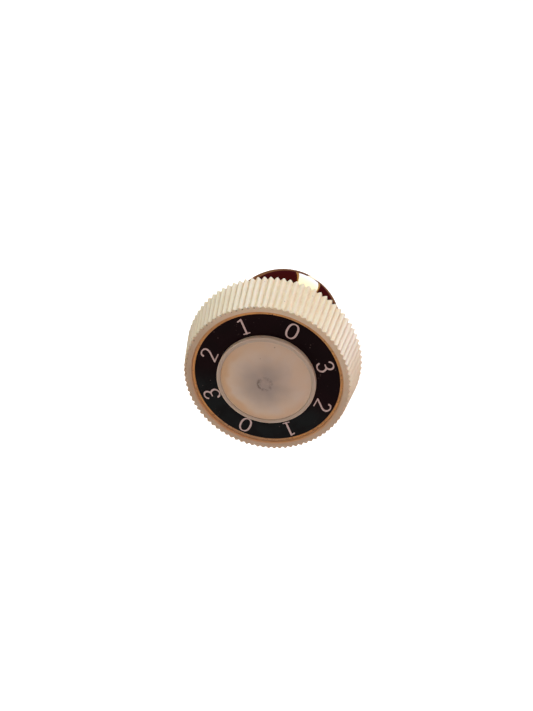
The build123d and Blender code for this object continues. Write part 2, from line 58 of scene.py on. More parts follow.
# Sizes that the frame doesn't give as the edge of a node's box
FLUTES = 88
REAR_FLUTE_DEPTH = 0.77
FRONT_RIDGE_RADIUS = 19.45
FRONT_FLUTE_DEPTH = 0.5
CREST_ROUNDING = 0.24
LIP_HEIGHT = 0.75
LIP_SLOPE = 0.3
LIP_LAND = 0.1
RIM_WALL_REAR = 2.4
RIM_WALL_FRONT = 2.2
FACE_THICKNESS = 1.9
HUB_RADIUS = 6.0
RIBS = 4
RIB_THICKNESS = 1.1
RIB_DEPTH = 3.3
RIB_IN_HUB = 0.8
RIB_IN_WALL = 1.0
BOSS_RADIUS = 11.6
BOSS_WALL = 0.95
CAP_LEDGE = 0.7
CAP_LEDGE_DEPTH = 0.6
CAP_EDGE_HEIGHT = 1.05
CAP_SKIRT = 0.65
CAP_THICKNESS = 1.0
GATE_RADIUS = 1.5
GATE_DEPTH = 0.04
GATE_WIDTH = 0.25
STUB_RADIUS = 1.15
STUB_HEIGHT = 0.035
STUB_EDGE = 0.06
CAP_MARGIN = 0.001
BALL_WALL = 0.9
FOOT_RADIUS = 7.5
BUSHING_RADIUS = 4.0
LIP_GAP = 0.3
REAR_LIP_THICKNESS = 0.8
MOUNT_BORE_RADIUS = 4.5
MOUNT_TUBE_RADIUS = 6.0
MOUNT_FLANGE = 1.4
THREAD_PITCH = 1.0
THREAD_DEPTH = 0.5
THREAD_END = 0.5
THREAD_FADE = 0.4
FIT_GAP = 0.03


# Shapes

def span(node):
    """Rear and front forward distance of a node, and its reach across, in millimetres."""
    low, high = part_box(node)
    return -high.y / MM, -low.y / MM, high.x / MM


def rounded(corners, steps=4, guard=0.04):
    """Closed profile from corners, each a radius, a forward distance, a fillet and a flute depth.

    A fillet's centre lies on the line that halves its corner, fillet / sin(half angle) away, and
    its points turn about that centre by equal angles, from the point where the arc touches one
    side to the point where it touches the other. A guard point on each side keeps the shading of
    the flat beside it flat.
    """
    corners = np.array([(*corner, 0, 0)[:4] for corner in corners], float)
    points, fillets, depths = corners[:, :2], corners[:, 2], corners[:, 3]
    back = np.roll(points, 1, 0) - points
    ahead = np.roll(points, -1, 0) - points
    back /= np.linalg.norm(back, axis=1, keepdims=True)
    ahead /= np.linalg.norm(ahead, axis=1, keepdims=True)
    between = np.arccos(np.clip((back * ahead).sum(1), -1, 1))
    turn = np.maximum(math.pi - between, 1e-4)
    reach = fillets * np.tan(turn / 2)
    halving = back + ahead
    halving /= np.maximum(np.linalg.norm(halving, axis=1, keepdims=True), 1e-9)
    centre = points + halving * (fillets / np.cos(turn / 2))[:, None]
    first = points + back * reach[:, None] - centre
    last = points + ahead * reach[:, None] - centre
    share = np.linspace(0, 1, steps + 1)[None, :, None]
    turn = turn[:, None, None]
    arc = np.sin((1 - share) * turn) * first[:, None] + np.sin(share * turn) * last[:, None]
    arc = arc / np.sin(turn) + centre[:, None]
    aside = guard * (fillets > 0)[:, None]
    ring = np.concatenate(
        [arc[:, :1] + (back * aside)[:, None], arc, arc[:, -1:] + (ahead * aside)[:, None]], axis=1
    )
    depth = np.repeat(depths[:, None, None], ring.shape[1], 1)
    ring = np.concatenate([ring, depth], axis=2).reshape(-1, 3)
    moved = np.linalg.norm(ring - np.roll(ring, 1, 0), axis=1) > 1e-6
    return ring[moved]


def grid_faces(rows, columns):
    """Quads between neighbours of a grid whose rows end and whose columns close on themselves."""
    row, column = np.meshgrid(np.arange(rows - 1), np.arange(columns), indexing="ij")
    beside = (column + 1) % columns
    corners = [row * columns + column, (row + 1) * columns + column]
    corners += [(row + 1) * columns + beside, row * columns + beside]
    return np.stack(corners, -1).reshape(-1, 4)


def turned(profile, angles, wave=None):
    """Surface of a profile turned about the axis, as a grid of points.

    A profile point of radius r and forward distance s, at the clock angle a, lies at
    (r sin a, -s, r cos a). Where the profile has a flute depth d, r is less by d times wave(a, s).
    """
    closed = np.vstack([profile, profile[:1]])
    radius, forward, depth = (column[:, None] for column in closed.T)
    angle = angles[None, :]
    radius = radius - (depth * wave(angle, forward) if wave else 0)
    forward = np.broadcast_to(forward, (len(closed), len(angles)))
    radius = np.broadcast_to(radius, forward.shape)
    return np.stack([radius * np.sin(angle), -forward, radius * np.cos(angle)], -1)


def swept(rings):
    """Closed tube through rings of points, with each end drawn together to its ring's middle."""
    first = np.broadcast_to(rings[:1].mean(1, keepdims=True), rings[:1].shape)
    last = np.broadcast_to(rings[-1:].mean(1, keepdims=True), rings[-1:].shape)
    return np.concatenate([first, rings, last])


def round_angles(count):
    """Equal clock angles all round."""
    return np.arange(count) * (2 * math.pi / count)


def welded(grid):
    """Points and faces of a grid, with points that fall together merged and all faces outward.

    A quad that loses one side becomes a triangle, and one that loses two is dropped. The sum of
    the faces' signed volumes to the origin tells whether the surface is inside out.
    """
    points = grid.reshape(-1, 3)
    quads = grid_faces(*grid.shape[:2])
    _, first, to_merged = np.unique(
        np.round(points, 5), axis=0, return_index=True, return_inverse=True
    )
    points, quads = points[first], to_merged.reshape(-1)[quads]
    lost = quads == np.roll(quads, -1, axis=1)
    whole = quads[~lost.any(1)]
    cut = lost.sum(1) == 1
    triangles = quads[cut][~lost[cut]].reshape(-1, 3)
    halves = np.concatenate([whole[:, [0, 1, 2]], whole[:, [0, 2, 3]], triangles])
    a, b, c = (points[halves[:, k]] for k in range(3))
    if (a * np.cross(b, c)).sum() < 0:
        whole, triangles = whole[:, ::-1], triangles[:, ::-1]
    return points, whole.tolist() + triangles.tolist()


def piece(name, grids, finish, body, stands_for=(), crease=40):
    """One object made from grids of points, which rides on a body of the frame."""
    points, faces = [], []
    for grid in grids:
        more_points, more_faces = welded(np.asarray(grid, float))
        start = sum(len(part) for part in points)
        points.append(more_points)
        faces += [[corner + start for corner in face] for face in more_faces]
    mesh = bpy.data.meshes.new(name)
    mesh.from_pydata(np.concatenate(points) * MM, [], faces)
    mesh.set_sharp_from_angle(angle=math.radians(crease))
    mesh.materials.append(finish)
    made = bpy.data.objects.new(name, mesh)
    bpy.context.scene.collection.objects.link(made)
    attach(made, body)
    if stands_for:
        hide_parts(*stands_for)
    return made


# Finishes

def linear(code):
    """Linear colour of an sRGB hex code.

    A channel v from 0 to 1 is v / 12.92 up to 0.04045, and ((v + 0.055) / 1.055) ** 2.4 above it.
    """
    channels = np.array([int(code[k : k + 2], 16) for k in (1, 3, 5)]) / 255
    dark = channels / 12.92
    light = ((channels + 0.055) / 1.055) ** 2.4
    return (*np.where(channels <= 0.04045, dark, light), 1.0)


def cells(millimetres):
    """Scale of a pattern whose cells are that many millimetres wide."""
    return 1 / (millimetres * MM)


def add(tree, kind, *inputs, **settings):
    """Adds a shader node with its settings. Its inputs in use take sockets or plain values.

    It gives back the output that the node has in use, or a list where there are several.
    """
    node = tree.nodes.new("ShaderNode" + kind)
    for name, value in settings.items():
        setattr(node, name, value)
    for socket, value in zip([socket for socket in node.inputs if socket.enabled], inputs):
        if isinstance(value, bpy.types.NodeSocket):
            tree.links.new(value, socket)
        else:
            socket.default_value = value
    outputs = [socket for socket in node.outputs if socket.enabled]
    return outputs[0] if len(outputs) == 1 else outputs


def start_finish(name, colour, roughness, **sockets):
    """A material with its plain values, its node tree, its shader and its object coordinates."""
    finish = bpy.data.materials.new(name)
    finish.use_nodes = True
    tree = finish.node_tree
    shader = tree.nodes["Principled BSDF"]
    shader.inputs["Base Color"].default_value = linear(colour)
    shader.inputs["Roughness"].default_value = roughness
    for key, value in sockets.items():
        shader.inputs[key.replace("_", " ")].default_value = value
    return finish, tree, shader, add(tree, "TexCoord")[3]


def round_the_axis(tree, place):
    """Distance from the axis and forward distance, both in metres, and the clock angle."""
    x, y, z = add(tree, "SeparateXYZ", place)
    radius = add(tree, "VectorMath", add(tree, "CombineXYZ", x, 0.0, z), operation="LENGTH")
    forward = add(tree, "Math", y, -1.0, operation="MULTIPLY")
    return radius, forward, add(tree, "Math", x, z, operation="ARCTAN2")


def toward(tree, clock, degrees):
    """1 on the side that lies at a clock angle and -1 opposite to it: the cosine between them."""
    between = add(tree, "Math", clock, math.radians(degrees), operation="SUBTRACT")
    return add(tree, "Math", between, operation="COSINE")


def specks(tree, place, size, share):
    """Small round specks: the middles of some of the cells of a random pattern."""
    distance, chance, _ = add(tree, "TexVoronoi", place, cells(size))
    chosen = add(tree, "Math", add(tree, "SeparateColor", chance)[0], share, operation="LESS_THAN")
    near = add(tree, "Math", 1.0, distance, operation="SUBTRACT")
    return add(tree, "Math", near, chosen, operation="MULTIPLY")


def coated(tree, under, coat, amount, *ramps):
    """Colour with a coat over it, as thick as the amount times the product of its ramps.

    A ramp is a value, where it gives 0 and where it gives 1, with a smooth step between them.
    """
    for value, none, full in ramps:
        step = add(tree, "MapRange", value, none, full, 0.0, 1.0, interpolation_type="SMOOTHSTEP")
        amount = add(tree, "Math", step, amount, operation="MULTIPLY")
    return add(tree, "Mix", amount, under, linear(coat), data_type="RGBA")


def roughened(tree, shader, value, none, full, low, high):
    """Lets the roughness follow a value: low where the value is at none, and high from full on."""
    rough = add(tree, "MapRange", value, none, full, low, high, interpolation_type="SMOOTHSTEP")
    tree.links.new(rough, shader.inputs["Roughness"])


def grained(tree, shader, place, size, depth):
    """Gives the surface a grain of the given size and depth in millimetres."""
    noise = add(tree, "TexNoise", place, cells(size), 3.0, 0.5)[0]
    tree.links.new(add(tree, "Bump", 1.0, depth * MM, 0.1, noise), shader.inputs["Normal"])


def urea_moulding(name, colour):
    """Moulded urea-formaldehyde: a hard, dense cream that light enters a little way.

    The eye sees a satin skin with faint clouds from the moulding powder. Old dirt sits in the
    front ends of the flutes, most on the left. Painted shade darkens the flutes' valleys and the
    lip below and on the left, and a painted glow of light through the lip's thin edge tints it
    amber next to the ring, most below. The ring round the cap has gone grey from handling.
    """
    finish, tree, shader, place = start_finish(
        name, colour, 0.45, IOR=1.55, Subsurface_Weight=0.5, Subsurface_Scale=1.2 * MM
    )
    shader.inputs["Subsurface Radius"].default_value = (1.0, 0.75, 0.55)
    radius, forward, clock = round_the_axis(tree, place)
    broad = add(tree, "TexNoise", place, cells(6.0), 3.0, 0.5)[0]
    wear_and_shade_noise = add(tree, "TexNoise", place, cells(1.8), 4.0, 0.6)[0]
    fine = add(tree, "TexNoise", place, cells(0.6), 3.0, 0.6)[0]
    cream = coated(tree, linear(colour), "#EEDFC2", 0.25, (broad, 0.4, 0.65))
    cream = coated(tree, cream, "#E6CFB0", 0.12, (wear_and_shade_noise, 0.5, 0.72))
    # Painted shade: the flutes' valleys are a little browner. Dirt sits in their front ends
    waves = add(tree, "Math", clock, FLUTES, operation="MULTIPLY")
    valley = add(tree, "Math", waves, operation="COSINE")
    floor_radius = (FRONT_RIDGE_RADIUS - FRONT_FLUTE_DEPTH) * MM
    in_flute = ((valley, -0.1, -0.9), (radius, floor_radius - 0.25 * MM, floor_radius - 0.05 * MM))
    flute_end = (forward, (lip_plane - 0.7) * MM, (lip_plane - 0.2) * MM)
    cream = coated(tree, cream, "#D2B48E", 0.25, *in_flute, (wear_and_shade_noise, 0.3, 0.6))
    left = (toward(tree, clock, 292), 0.55, 0.9)
    cream = coated(tree, cream, "#7A5C3E", 0.8, *in_flute, flute_end, left, (fine, 0.46, 0.58))
    cream = coated(tree, cream, "#7E6042", 0.6, *in_flute, flute_end, (fine, 0.6, 0.7))
    # The lip: painted shade below and on the left, a painted amber glow next to the ring below,
    # and a thin amber line next to the ring at the top
    face = (forward, (lip_plane - 0.8) * MM, (lip_plane - 0.4) * MM)
    beyond = (radius, (recess_radius - 2) * MM, (recess_radius - 1) * MM)
    edge = (radius, (recess_radius + 0.8) * MM, (recess_radius - 0.1) * MM)
    below = toward(tree, clock, 165)
    # Painted shade: greyer all round but the top
    cream = coated(tree, cream, "#D2C0A8", 0.6, face, beyond, (below, -0.75, 0.5))
    # Painted light: an amber glow through the thin edge next to the ring, most below
    cream = coated(tree, cream, "#E0B07C", 0.65, face, beyond, edge, (below, -0.35, 0.4))
    line = (radius, (recess_radius + 0.3) * MM, (recess_radius + 0.18) * MM)
    cream = coated(tree, cream, "#DFA05A", 0.8, face, beyond, line, (below, 0.3, -0.4))
    # Painted light: a wider amber glow below, which also covers the shade of the groove by the
    # ring
    painted_glow_band = (radius, (recess_radius + 0.65) * MM, (recess_radius + 0.05) * MM)
    cream = coated(tree, cream, "#E8A860", 0.6, face, beyond, painted_glow_band, (below, 0.1, 0.7))
    # Painted shade: darker on the left
    left_lip = (toward(tree, clock, 262), 0.7, 1.0)
    cream = coated(tree, cream, "#BBA888", 0.35, face, beyond, left_lip)
    # The ring round the cap is grey on top and a little less so on its wall
    above_dial = (forward, dial_front * MM, (dial_front + 0.3) * MM)
    ring = (radius, (BOSS_RADIUS + 0.4) * MM, (BOSS_RADIUS + 0.1) * MM)
    cream = coated(tree, cream, "#DECFC0", 0.7, above_dial, ring)
    top = (forward, (dial_front + 0.6) * MM, (dial_front + 0.9) * MM)
    inner = (radius, (BOSS_RADIUS - 0.05) * MM, (BOSS_RADIUS - 0.35) * MM)
    cream = coated(tree, cream, "#CDC2B3", 0.9, top, inner)
    cream = coated(tree, cream, "#8A6C4C", 0.6, (specks(tree, place, 1.4, 0.12), 0.85, 0.93))
    tree.links.new(cream, shader.inputs["Base Color"])
    grained(tree, shader, place, 0.35, 0.012)
    return finish


def cap_moulding(name, colour):
    """The same urea, thinner, over the screw's dark pocket, which shows through as a grey cloud.

    Its edge is amber, most at the lower left, its rim has painted light below, and dirt has
    stayed in the ring of the gate mark.
    """
    finish, tree, shader, place = start_finish(
        name, colour, 0.4, IOR=1.55, Subsurface_Weight=0.15, Subsurface_Scale=0.8 * MM
    )
    shader.inputs["Subsurface Radius"].default_value = (1.0, 0.62, 0.4)
    radius, _, clock = round_the_axis(tree, place)
    broad = add(tree, "TexNoise", place, cells(5.0), 3.0, 0.5)[0]
    fine = add(tree, "TexNoise", place, cells(0.7), 3.0, 0.6)[0]
    wander = add(tree, "TexNoise", place, cells(3.5), 2.0, 0.5)[0]
    wander = add(tree, "Math", wander, 2.4 * MM, radius, operation="MULTIPLY_ADD")
    soft = add(tree, "Math", wander, -1.2 * MM, operation="ADD")
    cream = coated(tree, linear(colour), "#EBD2B0", 0.35, (broad, 0.38, 0.6))
    # The shadow behind: a round cloud, with four arms that widen and fade outwards
    cream = coated(tree, cream, "#A89E9C", 0.5, (soft, 8.0 * MM, 0.4 * MM))
    arms = ((4, 10, 0.38), (104, 9.4, 0.5), (176, 10.2, 0.4), (-98, 9, 0.38))
    for degrees, reach, start in arms:
        side = (toward(tree, clock, degrees), start, 1.0)
        cream = coated(tree, cream, "#9C9896", 0.55, side, (soft, reach * MM, 1.5 * MM))
    cream = coated(tree, cream, "#AA948C", 0.25, (soft, 4.0 * MM, 0.8 * MM))
    # An amber band at the edge, widest at the lower left and thinnest at the upper right
    below = (toward(tree, clock, 205), -1.3, 0.9)
    cream = coated(tree, cream, "#E6C294", 0.7, below, (soft, 7.8 * MM, 10.2 * MM))
    lower_left = (toward(tree, clock, 232), 0.3, 0.9)
    cream = coated(tree, cream, "#DDB47C", 0.4, lower_left, (soft, 8.2 * MM, 9.6 * MM))
    # Painted light: its rim is paler below, lifting the shade of the step beside the ring
    painted_light_rim = (radius, (cap_radius - 0.4) * MM, (cap_radius - 0.1) * MM)
    cream = coated(tree, cream, "#F6E4CC", 0.7, painted_light_rim, (toward(tree, clock, 165), -0.2, 0.6))
    # Dirt in the ring of the gate mark, darkest at the lower left
    inside = (radius, (GATE_RADIUS - 0.7) * MM, (GATE_RADIUS - 0.1) * MM)
    outside = (radius, (GATE_RADIUS + 0.7) * MM, (GATE_RADIUS + 0.1) * MM)
    cream = coated(tree, cream, "#6A5E55", 0.5, inside, outside, (fine, 0.38, 0.66))
    lean = (toward(tree, clock, 228), 0.3, 1.0)
    cream = coated(tree, cream, "#57483D", 0.55, inside, outside, lean, (fine, 0.3, 0.6))
    cream = coated(tree, cream, "#83694B", 0.6, (specks(tree, place, 1.9, 0.14), 0.85, 0.93))
    tree.links.new(cream, shader.inputs["Base Color"])
    grained(tree, shader, place, 0.4, 0.01)
    return finish


def black_foil(name):
    """Black-lacquered foil: a matt skin with hardly any shine, and a little dust on it."""
    finish, tree, shader, place = start_finish(
        name, "#1C1013", 0.55, IOR=1.45, Specular_IOR_Level=0.03
    )
    _, _, clock = round_the_axis(tree, place)
    broad = add(tree, "TexNoise", place, cells(5.0), 3.0, 0.5)[0]
    # Greyer and bluer towards the bottom
    lower = (toward(tree, clock, 172), 0.1, 0.5)
    black = coated(tree, linear("#1C1013"), "#212628", 1.0, lower)
    black = coated(tree, black, "#140E10", 0.5, (broad, 0.4, 0.6))
    black = coated(tree, black, "#8C7F7C", 0.45, (specks(tree, place, 1.3, 0.22), 0.86, 0.96))
    black = coated(tree, black, "#5C5350", 0.4, (specks(tree, place, 0.7, 0.12), 0.8, 0.92))
    tree.links.new(black, shader.inputs["Base Color"])
    grained(tree, shader, place, 0.22, 0.004)
    return finish


def screened_ink(name):
    """Screen-printed ink: a flat off-white film whose thickness varies a little."""
    finish, tree, shader, place = start_finish(name, "#E8D8D8", 0.6, IOR=1.5)
    fine = add(tree, "TexNoise", place, cells(0.5), 3.0, 0.6)[0]
    film = coated(tree, linear("#E8D8D8"), "#C6B2B0", 0.5, (fine, 0.45, 0.7))
    tree.links.new(film, shader.inputs["Base Color"])
    return finish


def amber_celluloid(name):
    """Amber celluloid: a thin translucent ring, brown in places and paler towards the bottom."""
    finish, tree, shader, place = start_finish(
        name, "#ECAE62", 0.35, IOR=1.5, Subsurface_Weight=0.1, Subsurface_Scale=0.4 * MM
    )
    _, _, clock = round_the_axis(tree, place)
    broad = add(tree, "TexNoise", place, cells(4.0), 3.0, 0.5)[0]
    fine = add(tree, "TexNoise", place, cells(0.8), 4.0, 0.65)[0]
    amber = coated(tree, linear("#ECAE62"), "#D09A58", 1.0, (broad, 0.38, 0.6))
    paler_below = (toward(tree, clock, 172), 0.75, 1.0)
    amber = coated(tree, amber, "#D2B28A", 0.7, paler_below)
    amber = coated(tree, amber, "#8A5526", 0.6, (fine, 0.55, 0.67))
    amber = coated(tree, amber, "#2F1D12", 0.85, (specks(tree, place, 1.1, 0.3), 0.8, 0.9))
    tree.links.new(amber, shader.inputs["Base Color"])
    grained(tree, shader, place, 0.5, 0.01)
    return finish


def buffed_brass(name):
    """Spun brass, buffed to a mirror: clear reflections, with faint haze where it was handled.

    Real buffing lines are a few micrometres wide. They are drawn 0.05 mm wide to show at all.
    """
    finish, tree, shader, place = start_finish(name, "#E6BC6C", 0.06, Metallic=1.0)
    broad = add(tree, "TexNoise", place, cells(6.0), 4.0, 0.6)[0]
    spots = add(tree, "TexNoise", place, cells(2.0), 4.0, 0.65)[0]
    gold = coated(tree, linear("#E6BC6C"), "#C99A52", 0.5, (spots, 0.55, 0.8))
    tree.links.new(gold, shader.inputs["Base Color"])
    roughened(tree, shader, broad, 0.4, 0.75, 0.04, 0.1)
    grained(tree, shader, place, 0.05, 0.0004)
    return finish


def lathe_metal(name, colour, darker, roughness, pitch):
    """Metal as it leaves the lathe: fine rings about the axis, duller in cloudy patches.

    The rings are a sine of the distance from the axis plus the forward distance.
    """
    finish, tree, shader, place = start_finish(name, colour, roughness, Metallic=1.0)
    radius, forward, _ = round_the_axis(tree, place)
    along = add(tree, "Math", radius, forward, operation="ADD")
    turns = add(tree, "Math", along, 2 * math.pi * cells(pitch), operation="MULTIPLY")
    rings = add(tree, "Math", turns, operation="SINE")
    tree.links.new(add(tree, "Bump", 1.0, 0.004 * MM, 0.1, rings), shader.inputs["Normal"])
    dull = add(tree, "TexNoise", place, cells(1.6), 4.0, 0.65)[0]
    metal = coated(tree, linear(colour), darker, 1.0, (dull, 0.4, 0.75))
    tree.links.new(metal, shader.inputs["Base Color"])
    roughened(tree, shader, dull, 0.4, 0.75, roughness - 0.06, roughness + 0.12)
    return finish


def sheet_metal(name, colour, darker, roughness):
    """Blanked sheet metal, plated or rolled: a soft shine with small cloudy patches."""
    finish, tree, shader, place = start_finish(name, colour, roughness, Metallic=1.0)
    clouds = add(tree, "TexNoise", place, cells(1.2), 4.0, 0.6)[0]
    metal = coated(tree, linear(colour), darker, 1.0, (clouds, 0.35, 0.75))
    tree.links.new(metal, shader.inputs["Base Color"])
    roughened(tree, shader, clouds, 0.35, 0.75, roughness - 0.05, roughness + 0.1)
    grained(tree, shader, place, 0.12, 0.002)
    return finish


def filled_resin(name, colour, lighter, fleck, roughness):
    """Moulded resin with a filler: a smooth skin with flecks of the filler under it."""
    finish, tree, shader, place = start_finish(name, colour, roughness, IOR=1.6)
    flecks = add(tree, "TexNoise", place, cells(fleck), 3.0, 0.7)[0]
    resin = coated(tree, linear(colour), lighter, 0.6, (flecks, 0.45, 0.7))
    tree.links.new(resin, shader.inputs["Base Color"])
    grained(tree, shader, place, 0.25, 0.008)
    return finish


# Places that the frame gives
knob_rear, boss_front, rear_ridge_radius = span("knob_rim")
dial_rear, dial_front, dial_radius = span("dial_ring")
trim_rear, trim_front, trim_radius = span("trim_ring")
skirt_rear, cap_front, cap_radius = span("centre_cap")
hub_rear, pocket_floor, insert_radius = span("hub_insert")
seam, front_flat, ball_radius = span("ball_front_shell")
cover_rear = span("rear_cover")[0]
mount_rear, mount_front, flange_radius = span("mounting_bush")
lip_plane = dial_front + LIP_HEIGHT
ball_centre = math.sqrt(ball_radius**2 - FOOT_RADIUS**2)
recess_radius = trim_radius + FIT_GAP

urea = urea_moulding("moulded_urea_cream", "#F1E4CB")
cap_urea = cap_moulding("moulded_urea_cap", "#ECDDCA")
foil = black_foil("lacquered_foil_black")
ink = screened_ink("screened_ink_off_white")
celluloid = amber_celluloid("celluloid_amber")
brass = buffed_brass("spun_brass_buffed")
lathe_brass = lathe_metal("turned_brass", "#D8AE62", "#A67E42", 0.28, 0.16)
zinc_steel = lathe_metal("zinc_plated_steel", "#C9CACB", "#9FA1A3", 0.32, 0.2)
bronze = sheet_metal("rolled_phosphor_bronze", "#C98F5E", "#A06C44", 0.3)
silver = sheet_metal("coined_silver", "#D9D6CF", "#A8A29A", 0.25)
phenolic = filled_resin("moulded_phenolic_brown", "#2E1E17", "#4A3226", 0.6, 0.35)
nylon = filled_resin("moulded_nylon_white", "#E6E0D2", "#D8CFBC", 2.0, 0.4)

SLOT_FINISHES = {
    "cream_plastic": urea,
    "dial_black": foil,
    "amber_line": celluloid,
    "cap_cream": cap_urea,
    "polished_brass": brass,
    "turned_brass": lathe_brass,
    "steel": zinc_steel,
    "spring_bronze": bronze,
    "silver": silver,
    "phenolic": phenolic,
    "nylon": nylon,
}
for row in frame["record"]["materials"]:
    for node in row.get("nodes", []):
        for held in frame["nodes"][node].material_slots:
            held.material = SLOT_FINISHES[row["slot"]]


# The knob

def flute(angle, forward):
    """How deep the flutes are, from 0 on a ridge to 1 in a valley.

    With t from 0 on the ridge to 1 in the valley, a plain V would be t. The crest is rounded by
    (sqrt(t^2 + c^2) - c) / (sqrt(1 + c^2) - c), which leaves the valley sharp. c is
    CREST_ROUNDING.
    """
    pitch = 2 * math.pi / FLUTES
    away = np.abs((angle / pitch + 0.5) % 1 - 0.5) * 2
    crest = CREST_ROUNDING
    return (np.sqrt(away**2 + crest**2) - crest) / (math.sqrt(1 + crest**2) - crest)


# Columns of the knob's grid, in flutes from a ridge: they lie closest where the crest bends
in_a_flute = np.array([-0.5, -0.4, -0.28, -0.17, -0.08, 0, 0.08, 0.17, 0.28, 0.4])
flute_angles = (np.arange(FLUTES)[:, None] + in_a_flute[None, :]) * (2 * math.pi / FLUTES)

face_rear = dial_rear - FACE_THICKNESS
boss_inner = BOSS_RADIUS - BOSS_WALL
ledge = dial_front - CAP_LEDGE_DEPTH
knob_profile = rounded(
    [
        (rear_ridge_radius, knob_rear, 0.12, REAR_FLUTE_DEPTH),
        (FRONT_RIDGE_RADIUS, lip_plane, 0.1, FRONT_FLUTE_DEPTH),
        (FRONT_RIDGE_RADIUS - FRONT_FLUTE_DEPTH - LIP_LAND, lip_plane, 0.3),
        (recess_radius, lip_plane - LIP_SLOPE, 0.3),
        (recess_radius, dial_rear, 0),
        (BOSS_RADIUS, dial_rear, 0),
        (BOSS_RADIUS, boss_front, 0.3),
        (boss_inner, boss_front, 0.22),
        (boss_inner, ledge, 0),
        (boss_inner - CAP_LEDGE, ledge, 0),
        (boss_inner - CAP_LEDGE, pocket_floor, 0.2),
        (insert_radius + FIT_GAP, pocket_floor, 0),
        (insert_radius + FIT_GAP, hub_rear, 0),
        (HUB_RADIUS, hub_rear, 0.25),
        (HUB_RADIUS, face_rear, 0.5),
        (FRONT_RIDGE_RADIUS - FRONT_FLUTE_DEPTH - RIM_WALL_FRONT, face_rear, 0.8),
        (rear_ridge_radius - REAR_FLUTE_DEPTH - RIM_WALL_REAR, knob_rear, 0.25),
    ]
)
piece(
    "knob_rim_fluted",
    [turned(knob_profile, flute_angles.ravel(), flute)],
    urea,
    "knob",
    ["knob_rim"],
)


def rib(clock):
    """A rib from the hub to the wall: a rounded bar whose section is carried outwards.

    Its section spans the thickness across and the depth forward, and its path is a straight line
    from inside the hub to inside the wall.
    """
    half = RIB_THICKNESS / 2
    section = rounded(
        [
            (-half, face_rear + 0.1, 0),
            (-half, face_rear - RIB_DEPTH, 0.2),
            (half, face_rear - RIB_DEPTH, 0.2),
            (half, face_rear + 0.1, 0),
        ]
    )
    reach = FRONT_RIDGE_RADIUS - FRONT_FLUTE_DEPTH - RIM_WALL_FRONT + RIB_IN_WALL
    radius = np.linspace(HUB_RADIUS - RIB_IN_HUB, reach, 12)[:, None]
    across, forward = section[None, :, 0], section[None, :, 1]
    x = radius * math.sin(clock) + across * math.cos(clock)
    z = radius * math.cos(clock) - across * math.sin(clock)
    return swept(np.stack([x, np.broadcast_to(-forward, x.shape), z], -1))


piece(
    "knob_ribs",
    [rib((number + 0.5) * 2 * math.pi / RIBS) for number in range(RIBS)],
    urea,
    "knob",
)

dial_profile = rounded(
    [
        (BOSS_RADIUS + FIT_GAP, dial_rear, 0.05),
        (dial_radius, dial_rear, 0.05),
        (dial_radius, dial_front, 0.08),
        (BOSS_RADIUS + FIT_GAP, dial_front, 0.08),
    ]
)
piece(
    "dial_ring_foil",
    [turned(dial_profile, round_angles(192))],
    foil,
    "knob",
    ["dial_ring"],
)

trim_profile = rounded(
    [
        (dial_radius + FIT_GAP, trim_rear, 0.05),
        (trim_radius, trim_rear, 0.05),
        (trim_radius, trim_front, 0.05),
        (dial_radius + FIT_GAP, trim_front, 0.15),
    ],
    steps=6,
)
piece(
    "trim_ring_amber",
    [turned(trim_profile, round_angles(256))],
    celluloid,
    "knob",
    ["trim_ring"],
)

# The cap: a dome with the mark of the gate through which the moulding was fed
cap_edge = dial_front + CAP_EDGE_HEIGHT
dome_rise = cap_front - cap_edge
dome_radius = (cap_radius**2 + dome_rise**2) / (2 * dome_rise)
under_radius = dome_radius - CAP_THICKNESS
skirt_outer = boss_inner - CAP_LEDGE - FIT_GAP
skirt_inner = skirt_outer - CAP_SKIRT


def dome(radius, across, front):
    """Forward distance of a dome at a distance across, with its top at front."""
    return front - radius + np.sqrt(radius**2 - across**2)


def gate_mark(across):
    """Height of the gate mark at a distance across.

    It is a groove shaped like a bell curve, and inside it a flat stub whose edge is the smooth
    step 1 / (1 + exp(distance past the edge / edge width)).
    """
    groove = GATE_DEPTH * np.exp(-(((across - GATE_RADIUS) / GATE_WIDTH) ** 2))
    return STUB_HEIGHT / (1 + np.exp((across - STUB_RADIUS) / STUB_EDGE)) - groove


across = np.concatenate([np.linspace(0, 2.4, 41), np.linspace(2.6, cap_radius - 0.3, 32)])
top = dome(dome_radius, across, cap_front - STUB_HEIGHT - CAP_MARGIN) + gate_mark(across)
under = np.linspace(skirt_inner, 0, 24)
cap_profile = rounded(
    [
        *zip(across, top),
        (cap_radius, cap_edge, 0.03),
        (cap_radius, ledge, 0.08),
        (skirt_outer, ledge, 0),
        (skirt_outer, skirt_rear, 0.1),
        (skirt_inner, skirt_rear, 0.1),
        *zip(under, dome(under_radius, under, cap_front - CAP_THICKNESS)),
    ]
)
piece(
    "centre_cap_domed",
    [turned(cap_profile, round_angles(192))],
    cap_urea,
    "knob",
    ["centre_cap"],
)

# The figures: strokes of ink on the dial, tops outwards, twice round
FIGURES = "03210321"
FIGURE_RADIUS = 14.4
FIGURE_STROKE = 0.43
STROKE_ACROSS = 0.65
STROKE_UPWARD = 1.1
INK_THICKNESS = 0.035
INK_IN_DIAL = 0.01
INK_EDGE = 0.012
INK_LAYER = 0.004
# How far each figure was printed off its place: clockwise and outwards
PRINT_ERRORS = [
    (0.22, 0.12),
    (0.57, -0.10),
    (0.28, 0.05),
    (0.16, 0.13),
    (-0.51, 0.12),
    (-0.26, -0.14),
    (-0.27, -0.07),
    (0.35, -0.02),
]


